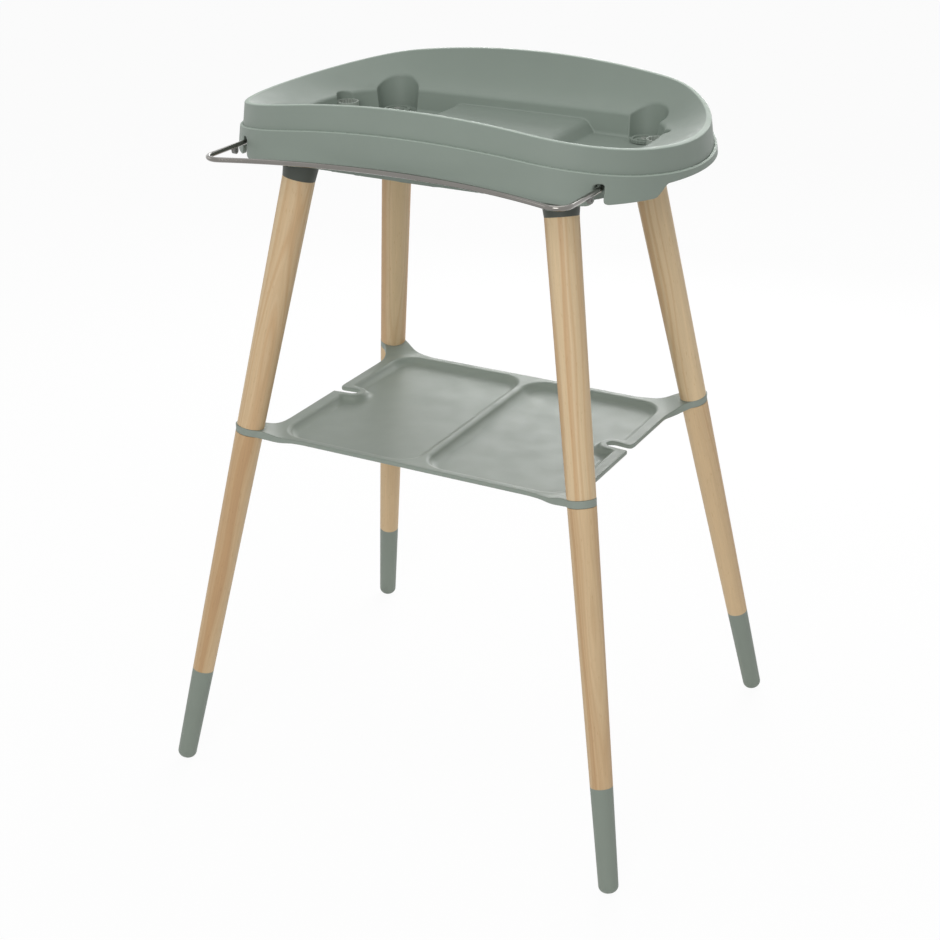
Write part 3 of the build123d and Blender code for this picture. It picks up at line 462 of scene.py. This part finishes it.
def shelf_field(x, y, z):
    """Shelf tray: flat flange, two compartments, hook slots and arms that climb to the rings."""
    side = np.abs(x)
    middle_y, half_y = sum(SHELF_Y) / 2, (SHELF_Y[1] - SHELF_Y[0]) / 2
    plan = box_distance(x, y, (0, middle_y), (SHELF_X, half_y), SHELF_CORNER)
    top = SHELF_TOP_Z
    thick = SHELF_EDGE
    cuts = []
    rings = []
    for name in LEGS:
        ring = leg_place(name, RING_Z)
        length = math.hypot(*ring)
        turn = (-ring[0] / length, -ring[1] / length)
        middle = (ring[0] + turn[0] * ARM_REACH / 2, ring[1] + turn[1] * ARM_REACH / 2)
        arm = box_distance(x, y, middle, (ARM_REACH / 2, ARM_HALF_WIDTH), ARM_CORNER, turn)
        arm = np.minimum(arm, np.hypot(x - ring[0], y - ring[1]) - RING_RADIUS)
        plan = smooth_min(plan, arm, ARM_FLARE)
        run = (x - ring[0]) * turn[0] + (y - ring[1]) * turn[1]
        climb = 1 - ease((run - RING_RADIUS) / ARM_RAMP)
        near = np.hypot(x - ring[0], y - ring[1]) < ARM_REACH + RING_RADIUS
        axis = leg_axis(name)
        ring_top = RING_Z + (RING_THICKNESS / 2 - (x - ring[0]) * axis.x - (y - ring[1]) * axis.y) / axis.z
        top = np.where(near, SHELF_TOP_Z + climb * (ring_top - SHELF_TOP_Z), top)
        thick = np.where(near, SHELF_EDGE + climb * (RING_THICKNESS / axis.z - SHELF_EDGE), thick)
        along = (x - ring[0]) * axis.x + (y - ring[1]) * axis.y + (z - RING_Z) * axis.z
        far = np.sqrt(np.maximum((x - ring[0]) ** 2 + (y - ring[1]) ** 2 + (z - RING_Z) ** 2 - along**2, 0))
        disc = smooth_max(np.abs(along) - RING_THICKNESS / 2, far - RING_RADIUS, RING_ROUND)
        beside = RING_THICKNESS / 2 - np.abs(along)
        cuts.append(smooth_max(far - RING_RADIUS - WOOD_ROOM, beside, ARM_CUT_ROUND))
        rings.append(np.maximum(disc, STUD_RADIUS - far))
        cuts.append(far - STUD_RADIUS)
    slab = smooth_max(z - top, top - thick - z, SHELF_FACE_ROUND)
    solid = smooth_max(slab, plan, SHELF_EDGE_ROUND)
    for cut in cuts:
        solid = smooth_max(solid, -cut, ARM_CUT_ROUND)
    for ring in rings:
        solid = np.minimum(solid, ring)
    inner, outer = SHELF_RIB / 2, SHELF_X - SHELF_END_FLANGE
    bay_half = ((outer - inner) / 2, half_y - SHELF_FLANGE)
    bay = box_distance(side, y, ((inner + outer) / 2, middle_y), bay_half, BAY_CORNER)
    slot = slot_field(side, y)
    rim = SLOT_RIM + SLOT_RADIUS - run_distance(side, y, SLOT_END, SLOT_MOUTH)
    bay = smooth_max(bay, rim, SLOT_RIM_ROUND)
    floor = SHELF_TOP_Z - SHELF_RECESS
    lean = SHELF_SLOPE / SHELF_RECESS
    flank = (bay + lean * (SHELF_TOP_Z - z)) / math.hypot(1, lean)
    pan = np.maximum(flank - SHELF_FLOOR, floor - SHELF_FLOOR - z)
    pan = np.maximum(pan, z - SHELF_TOP_Z + PAN_DROP)
    solid = np.minimum(solid, pan)
    room = smooth_max(flank, floor - z, BAY_FLOOR_ROUND)
    solid = smooth_max(solid, -room, BAY_EDGE_ROUND)
    return smooth_max(solid, -slot, SLOT_EDGE_ROUND)


def sample_net(field, low, high, step):
    """Vertices and quads of the surface where a field is zero, with one vertex in each cell that it crosses."""
    axes = [np.arange(a, b + step, step) for a, b in zip(low, high)]
    values = np.broadcast_to(field(*np.ix_(*axes)), [len(axis) for axis in axes])
    inside = values < 0
    shape = [n - 1 for n in inside.shape]
    filled = np.zeros(shape, np.int8)
    for i in (0, 1):
        for j in (0, 1):
            for k in (0, 1):
                filled += inside[i : shape[0] + i, j : shape[1] + j, k : shape[2] + k]
    crossed_cells = (filled > 0) & (filled < 8)
    cells = np.argwhere(crossed_cells)
    number = np.full(shape, -1)
    number[crossed_cells] = np.arange(len(cells))
    units = np.eye(3, dtype=int)
    total = np.zeros((len(cells), 3))
    hits = np.zeros(len(cells))
    quads = []
    for axis in range(3):
        u, v = units[(axis + 1) % 3], units[(axis + 2) % 3]
        for offset in (0 * u, u, v, u + v):
            start = cells + offset
            first, second = values[tuple(start.T)], values[tuple((start + units[axis]).T)]
            crossed = (first < 0) != (second < 0)
            share = first[crossed] / (first[crossed] - second[crossed])
            total[crossed] += start[crossed] + share[:, None] * units[axis]
            hits[crossed] += 1
        edges = np.argwhere(inside != np.roll(inside, -1, axis))
        room = (edges > 0) & (edges < np.array(shape))
        edges = edges[room[:, axis - 2] & room[:, axis - 1] & (edges[:, axis] < shape[axis])]
        ring = np.stack([number[tuple((edges - back).T)] for back in (u + v, v, 0 * u, u)], axis=1)
        quads.append(np.where(inside[tuple(edges.T)][:, None], ring, ring[:, ::-1]))
    return np.array(low) + step * total / hits[:, None], np.concatenate(quads)


def field_slope(field, points):
    """Direction in which the field grows, at each point."""
    slope = np.empty_like(points)
    for axis in range(3):
        ahead, behind = points.copy(), points.copy()
        ahead[:, axis] += SLOPE_STEP
        behind[:, axis] -= SLOPE_STEP
        slope[:, axis] = (field(*ahead.T) - field(*behind.T)) / (2 * SLOPE_STEP)
    return slope


def settle(field, points, reach, rounds=2):
    """Moves points onto the surface where the field is zero, by reach in a round at most."""
    for _ in range(rounds):
        slope = field_slope(field, points)
        size = np.maximum((slope**2).sum(1), LEAST_SQUARED_SLOPE)
        move = -(field(*points.T) / size)[:, None] * slope
        length = np.linalg.norm(move, axis=1, keepdims=True)
        points = points + move * np.minimum(1, reach / np.maximum(length, TINY))
    return points


def new_piece(name, mesh, body, material):
    """A visible object that rides on a body of the part and carries the given material."""
    piece = bpy.data.objects.new(name, mesh)
    bpy.context.scene.collection.objects.link(piece)
    mesh.materials.clear()
    mesh.materials.append(material)
    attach(piece, body)
    return piece


def thinned(mesh, share):
    """The mesh with its flat stretches in fewer faces."""
    carrier = bpy.data.objects.new("carrier", mesh)
    bpy.context.scene.collection.objects.link(carrier)
    thin = carrier.modifiers.new("thin", "DECIMATE")
    thin.ratio = share
    graph = bpy.context.evaluated_depsgraph_get()
    result = bpy.data.meshes.new_from_object(carrier.evaluated_get(graph))
    bpy.data.objects.remove(carrier)
    return result


def field_piece(name, field, body, slot, material, low, high, step, keep):
    """A moulded piece, meshed from its field and shaded by the field's own slope."""
    points, quads = sample_net(field, low, high, step)
    points = settle(field, points, step / 2)
    mesh = bpy.data.meshes.new(name)
    mesh.from_pydata((points * MM).tolist(), [], quads.tolist())
    mesh = thinned(mesh, keep)
    places = np.empty(len(mesh.vertices) * 3, np.float32)
    mesh.vertices.foreach_get("co", places)
    points = settle(field, places.reshape(-1, 3).astype(float) / MM, step / 2, rounds=1)
    mesh.vertices.foreach_set("co", (points * MM).astype(np.float32).ravel())
    slope = field_slope(field, points)
    normals = slope / np.maximum(np.linalg.norm(slope, axis=1, keepdims=True), TINY)
    mesh.update()
    mesh.shade_smooth()
    mesh.normals_split_custom_set_from_vertices(normals.tolist())
    mesh.name = name
    return new_piece(name, mesh, body, material)


def node(tree, kind, inputs=None, **settings):
    """Adds a shader node; an input is a number, a colour or another node's output."""
    made = tree.nodes.new(kind)
    for key, value in settings.items():
        setattr(made, key, value)
    for key, value in (inputs or {}).items():
        if isinstance(value, bpy.types.NodeSocket):
            tree.links.new(value, made.inputs[key])
        else:
            made.inputs[key].default_value = value
    return made


def ramp(tree, factor, stops):
    """Colour ramp through (place, colour) stops."""
    made = node(tree, "ShaderNodeValToRGB", {"Fac": factor})
    elements = made.color_ramp.elements
    while len(elements) < len(stops):
        elements.new(0.5)
    for element, (place, colour) in zip(elements, stops):
        element.position = place
        element.color = (*colour, 1)
    return made.outputs["Color"]


def scaled(colour, share):
    return tuple(min(1.0, channel * share) for channel in colour)


def start_material(name):
    """A new material with its shader and the object coordinates in metres."""
    material = bpy.data.materials.new(name)
    material.use_nodes = True
    tree = material.node_tree
    place = node(tree, "ShaderNodeTexCoord").outputs["Object"]
    return material, tree, tree.nodes["Principled BSDF"], place


def noise(tree, place, scale, detail, rough):
    inputs = {"Vector": place, "Scale": scale, "Detail": detail, "Roughness": rough}
    return node(tree, "ShaderNodeTexNoise", inputs).outputs["Fac"]


def level(tree, value, low, high):
    """Maps a noise value onto a narrow range."""
    inputs = {"Value": value, "From Min": NOISE_LOW, "From Max": NOISE_HIGH, "To Min": low, "To Max": high}
    return node(tree, "ShaderNodeMapRange", inputs).outputs["Result"]


def maths(tree, operation, *values):
    """Result of a Math node, from numbers or other nodes' outputs."""
    return node(tree, "ShaderNodeMath", dict(enumerate(values)), operation=operation).outputs[0]


def multiplied(tree, colour, tint):
    made = node(tree, "ShaderNodeMix", {0: 1.0, 6: colour, 7: tint}, data_type="RGBA", blend_type="MULTIPLY")
    return made.outputs[2]


def bump(tree, height, strength, distance):
    made = node(tree, "ShaderNodeBump", {"Height": height, "Strength": strength, "Distance": distance})
    return made.outputs["Normal"]


def painted_highlight_share(tree, place, middle, drop, tilt):
    """Share of the painted highlight: 1 on the arched top edge of a moulded piece and 0 below it."""
    radius = arch_radius(drop) * MM
    axes = node(tree, "ShaderNodeSeparateXYZ", {0: place}).outputs
    square = maths(tree, "MULTIPLY", axes["X"], axes["X"])
    crown = maths(tree, "SQRT", maths(tree, "SUBTRACT", radius * radius, square))
    base = maths(tree, "MULTIPLY_ADD", axes["Y"], tilt, middle * MM - radius)
    depth = maths(tree, "SUBTRACT", maths(tree, "ADD", crown, base), axes["Z"])
    inputs = {"Value": depth, "From Min": PAINTED_HIGHLIGHT_START * MM, "From Max": PAINTED_HIGHLIGHT_END * MM, "To Min": 1.0, "To Max": 0.0}
    return node(tree, "ShaderNodeMapRange", inputs).outputs["Result"]


def moulded(name, colour, rough=0.5, edge=None):
    """Matte moulded plastic: fine spark-eroded grain, faint clouds in the colour and in the gloss.

    edge is the middle height, drop and tilt of an arched top edge that gets a painted highlight, a paler line.
    """
    material, tree, shader, place = start_material(name)
    stops = [(at, scaled(colour, share)) for at, share in zip((NOISE_LOW, NOISE_HIGH), CLOUD_TINTS)]
    tint = ramp(tree, noise(tree, place, *CLOUD_NOISE), stops)
    # with edge, the top edge gets a painted highlight: its colour is mixed toward a paler copy of the plastic
    if edge:
        pale = (*scaled(colour, PAINTED_HIGHLIGHT_PALENESS), 1)
        share = painted_highlight_share(tree, place, *edge)
        line = node(tree, "ShaderNodeMix", {0: share, 6: tint, 7: pale}, data_type="RGBA")
        tint = line.outputs[2]
    tree.links.new(tint, shader.inputs["Base Color"])
    smears = noise(tree, place, *SMEAR_NOISE)
    gloss = level(tree, smears, rough + SMEAR_SPREAD[0], rough + SMEAR_SPREAD[1])
    tree.links.new(gloss, shader.inputs["Roughness"])
    sparks = noise(tree, place, *SPARK_NOISE)
    tree.links.new(bump(tree, sparks, *SPARK_BUMP), shader.inputs["Normal"])
    shader.inputs["IOR"].default_value = PLASTIC_IOR
    return material


def wood(name, leg, pale, tan, seed):
    """Lacquered beech: growth rings round a pith beside the leg, fine fibres and faint flecks along it."""
    material, tree, shader, place = start_material(name)
    (foot_x, foot_y), _ = LEGS[leg]
    turn = leg_axis(leg).to_track_quat("Z", "Y").to_euler()

    def grain_place(stretch):
        """Coordinates along and across the leg, drawn out along it."""
        inputs = {
            "Vector": place,
            "Location": (foot_x * MM, foot_y * MM, seed),
            "Rotation": turn,
            "Scale": (1, 1, stretch),
        }
        return node(tree, "ShaderNodeMapping", inputs, vector_type="TEXTURE").outputs["Vector"]

    def grain(stretch, scale, detail, rough):
        return noise(tree, grain_place(stretch), scale, detail, rough)

    across = node(tree, "ShaderNodeVectorMath", {0: grain_place(1.0), 1: (1, 1, 0)}, operation="MULTIPLY")
    pith = (PITH_AWAY * math.cos(PITH_TURN * seed), PITH_AWAY * math.sin(PITH_TURN * seed), 0)
    away = node(tree, "ShaderNodeVectorMath", {0: across.outputs[0], 1: pith}, operation="DISTANCE")
    depth = maths(tree, "MULTIPLY_ADD", grain(*SWAY_GRAIN), RING_SWAY, away.outputs["Value"])
    scale, detail, rough = RING_NOISE
    inputs = {"W": depth, "Scale": scale, "Detail": detail, "Roughness": rough}
    rings = node(tree, "ShaderNodeTexNoise", inputs, noise_dimensions="1D")
    colour = ramp(tree, rings.outputs["Fac"], list(zip(RING_STOPS, (pale, scaled(pale, RING_MIDDLE_TINT), tan))))
    fibres = grain(*FIBRE_GRAIN)
    colour = multiplied(tree, colour, level(tree, fibres, *FIBRE_TINTS))
    flecks = ramp(tree, grain(*FLECK_GRAIN), list(zip(FLECK_STOPS, ((1, 1, 1), FLECK_TINT))))
    tree.links.new(multiplied(tree, colour, flecks), shader.inputs["Base Color"])
    tree.links.new(level(tree, fibres, *WOOD_ROUGHNESS), shader.inputs["Roughness"])
    tree.links.new(bump(tree, fibres, *FIBRE_BUMP), shader.inputs["Normal"])
    return material


def leg_woods(name, pale, tan, start, step):
    """A wood of its own for each leg, so that no two show the same figure."""
    return {leg: wood(f"{name}_{leg}", leg, pale, tan, start + step * i) for i, leg in enumerate(LEGS)}


def brushed(name, colour, rough=ZINC_ROUGHNESS, stretch=(1, 1, 1), coat=0.0):
    """Steel with fine brush lines; a stretch below 1 draws the lines out along X, Y or Z."""
    material, tree, shader, place = start_material(name)
    drawn = node(tree, "ShaderNodeMapping", {"Vector": place, "Scale": stretch}).outputs["Vector"]
    lines = noise(tree, drawn, *BRUSH_NOISE)
    clouds = noise(tree, place, *STEEL_CLOUD_NOISE)
    tint = ramp(tree, clouds, [(NOISE_LOW, scaled(colour, STEEL_CLOUD_TINT)), (NOISE_HIGH, colour)])
    tree.links.new(tint, shader.inputs["Base Color"])
    gloss = level(tree, lines, rough + BRUSH_SPREAD[0], rough + BRUSH_SPREAD[1])
    tree.links.new(gloss, shader.inputs["Roughness"])
    tree.links.new(bump(tree, lines, *BRUSH_BUMP), shader.inputs["Normal"])
    shader.inputs["Metallic"].default_value = 1.0
    shader.inputs["Coat Weight"].default_value = coat
    shader.inputs["Coat Roughness"].default_value = COAT_ROUGHNESS
    return material


def dress_nodes():
    """Gives every CAD node its finish, by its own name or by its kind and leg."""
    for name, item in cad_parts.items():
        finish = FINISHES.get(name) or FINISHES[name.rsplit("_", 2)[0]]
        if isinstance(finish, dict):
            finish = finish["_".join(name.rsplit("_", 2)[1:])]
        item.data.materials.clear()
        item.data.materials.append(finish)


def area_light(name, place, aim, size, power):
    data = bpy.data.lights.new(name, "AREA")
    data.shape = "RECTANGLE"
    data.size, data.size_y = size
    data.energy = power
    lamp = bpy.data.objects.new(name, data)
    bpy.context.scene.collection.objects.link(lamp)
    lamp.visible_camera = False
    lamp.location = place
    lamp.rotation_euler = (Vector(aim) - Vector(place)).to_track_quat("-Z", "Y").to_euler()


def seen_share(tree):
    """1 for rays that show the background: from the camera, in gloss and through glass."""
    path = node(tree, "ShaderNodeLightPath").outputs
    gloss = maths(tree, "MAXIMUM", path["Is Camera Ray"], path["Is Glossy Ray"])
    return maths(tree, "MAXIMUM", gloss, path["Is Transmission Ray"])


def make_world():
    """White where the background shows, and a plain fill light for everything else."""
    world = bpy.data.worlds.new("studio")
    world.use_nodes = True
    tree = world.node_tree
    fill = node(tree, "ShaderNodeBackground", {"Color": WHITE, "Strength": FILL_STRENGTH})
    seen = node(tree, "ShaderNodeBackground", {"Color": WHITE, "Strength": 1.0})
    mix = node(tree, "ShaderNodeMixShader", {0: seen_share(tree), 1: fill.outputs[0], 2: seen.outputs[0]})
    tree.links.new(mix.outputs[0], tree.nodes["World Output"].inputs["Surface"])
    bpy.context.scene.world = world


def make_floor():
    """Pale floor that reads white and still shows a trace of the stand's shadow."""
    mesh = bpy.data.meshes.new("studio_floor")
    corners = [(x * FLOOR_HALF, y * FLOOR_HALF, 0) for x, y in ((-1, -1), (1, -1), (1, 1), (-1, 1))]
    mesh.from_pydata(corners, [], [(0, 1, 2, 3)])
    floor = bpy.data.objects.new("studio_floor", mesh)
    bpy.context.scene.collection.objects.link(floor)
    material, tree, shader, _ = start_material("studio_floor")
    shader.inputs["Base Color"].default_value = FLOOR_COLOUR
    shader.inputs["Roughness"].default_value = FLOOR_ROUGHNESS
    glow = node(tree, "ShaderNodeEmission", {"Color": WHITE, "Strength": 1.0})
    share = maths(tree, "MULTIPLY", seen_share(tree), FLOOR_GLOW_SHARE)
    mix = node(tree, "ShaderNodeMixShader", {0: share, 1: shader.outputs[0], 2: glow.outputs[0]})
    tree.links.new(mix.outputs[0], tree.nodes["Material Output"].inputs["Surface"])
    mesh.materials.append(material)


def make_camera():
    data = bpy.data.cameras.new("camera")
    data.sensor_width = SENSOR_WIDTH
    data.lens = FOCAL_PX * SENSOR_WIDTH / PHOTO_SIZE_PX
    data.shift_x = (PHOTO_SIZE_PX / 2 - CENTRE_X_PX) / PHOTO_SIZE_PX
    camera = bpy.data.objects.new("camera", data)
    bpy.context.scene.collection.objects.link(camera)
    camera.location = CAMERA_PLACE
    camera.rotation_euler = Euler((math.pi / 2 - CAMERA_PITCH, 0, CAMERA_YAW))
    bpy.context.scene.camera = camera


make_camera()
FINISHES = {
    "skirt_screws": brushed("zinc", STEEL),
    "towel_rail": brushed("rail_steel", RAIL_STEEL, rough=0.14, stretch=(0.05, 1, 1), coat=1.0),
    "rail_catch_left": moulded("catch_plastic", CATCH_GREY, rough=0.45),
    "drain_ring_left": moulded("ring_plastic", RING_GREEN, rough=0.45),
    # the bowl's rim and the skirt's seam get a painted highlight along their arched top edges
    "bowl": moulded("bowl_plastic", SAGE, edge=(RIM_END_Z + RIM_ARCH, RIM_ARCH, RIM_TILT)),
    "skirt": moulded("skirt_plastic", SAGE, edge=(SEAM_MIDDLE_Z, SEAM_ARCH, 0.0)),
    # the shelf's plastic is a paler copy of the sage, with painted light
    "shelf_tray": moulded("shelf_plastic", SHELF_SAGE_WITH_PAINTED_LIGHT),
    "leg_collar": moulded("collar_plastic", COLLAR_GREEN),
    "leg_stud": brushed("stud_zinc", STEEL),
    "leg_nut": moulded("nut_plastic", NUT_GREEN),
    "joining_stud": brushed("joining_zinc", STEEL),
    "foot_boot": moulded("boot_plastic", BOOT_SAGE),
    "upper_leg": leg_woods("upper_beech", BEECH_PALE, BEECH_TAN, *UPPER_SEEDS),
    "lower_leg": leg_woods("lower_beech", BEECH_WARM, BEECH_DEEP, *LOWER_SEEDS),
}
FINISHES["rail_catch_right"] = FINISHES["rail_catch_left"]
FINISHES["drain_ring_right"] = FINISHES["drain_ring_left"]
dress_nodes()

bowl = field_piece("cradle_bowl", bowl_field, "stand", "shell", FINISHES["bowl"], **BOWL_MESH)
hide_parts("bowl")
skirt = field_piece("cradle_skirt", skirt_field, "stand", "shell", FINISHES["skirt"], **SKIRT_MESH)
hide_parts("skirt")
shelf = field_piece("shelf", shelf_field, "stand", "shelf", FINISHES["shelf_tray"], **SHELF_MESH)
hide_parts("shelf_tray")

make_world()
make_floor()
for lamp_name, lamp in LAMPS.items():
    area_light(lamp_name, *lamp)

bpy.context.scene.view_settings.view_transform = "Standard"
